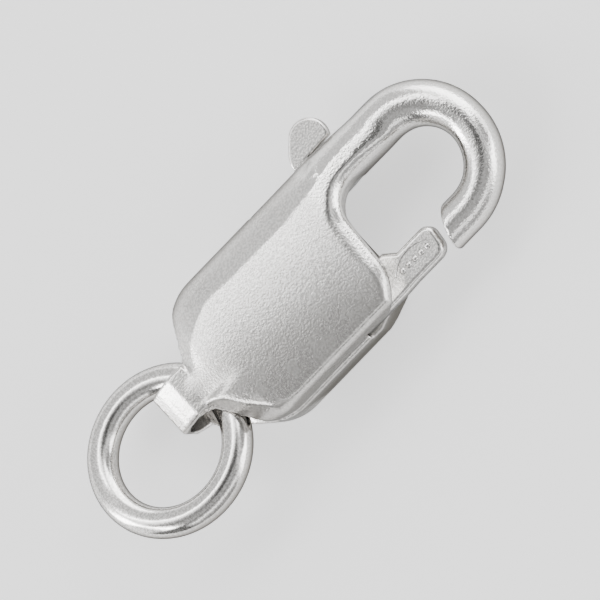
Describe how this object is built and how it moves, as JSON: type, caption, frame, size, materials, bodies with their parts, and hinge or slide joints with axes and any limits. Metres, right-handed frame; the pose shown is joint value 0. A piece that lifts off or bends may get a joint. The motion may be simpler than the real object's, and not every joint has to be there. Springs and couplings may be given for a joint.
{
  "type": "lobster clasp",
  "caption": "Lobster clasp for a necklace or bracelet: a hollow case with a hooked end, a sprung lever that closes the hook's eye, and a loose jump ring in its tail.",
  "frame": {"origin": "on the flat back face, on the case's middle line, level with the line that the case is measured from", "axes": "+Y along the clasp from the ring to the hook, +X towards the side of the gate, +Z out of the domed front"},
  "size_m": [0.0067, 0.0165, 0.0029],
  "materials": {
    "case_silver": "polished silver with fine wear",
    "lever_silver": "polished silver",
    "pin_silver": "plain silver",
    "ring_silver": "polished silver wire"
  },
  "bodies": {
    "case": {"body": "case_silver", "pivot_pin": "pin_silver"},
    "lever": {"lever": "lever_silver"},
    "ring": {"jump_ring": "ring_silver"}
  },
  "joints": [
    {"name": "lever_pivot", "type": "hinge", "parent": "case", "child": "lever", "pos_m": [0.00156, 0.00088, 0.00145], "axis": [0, 0, 1], "range_deg": [0, 24], "stiffness_Nm_per_rad": 0.006, "springref_deg": -17.19},
    {"name": "ring_swing", "type": "hinge", "parent": "case", "child": "ring", "pos_m": [0, -0.0041, 0.00145], "axis": [1, 0, 0], "range_deg": [-60, 40]}
  ]
}
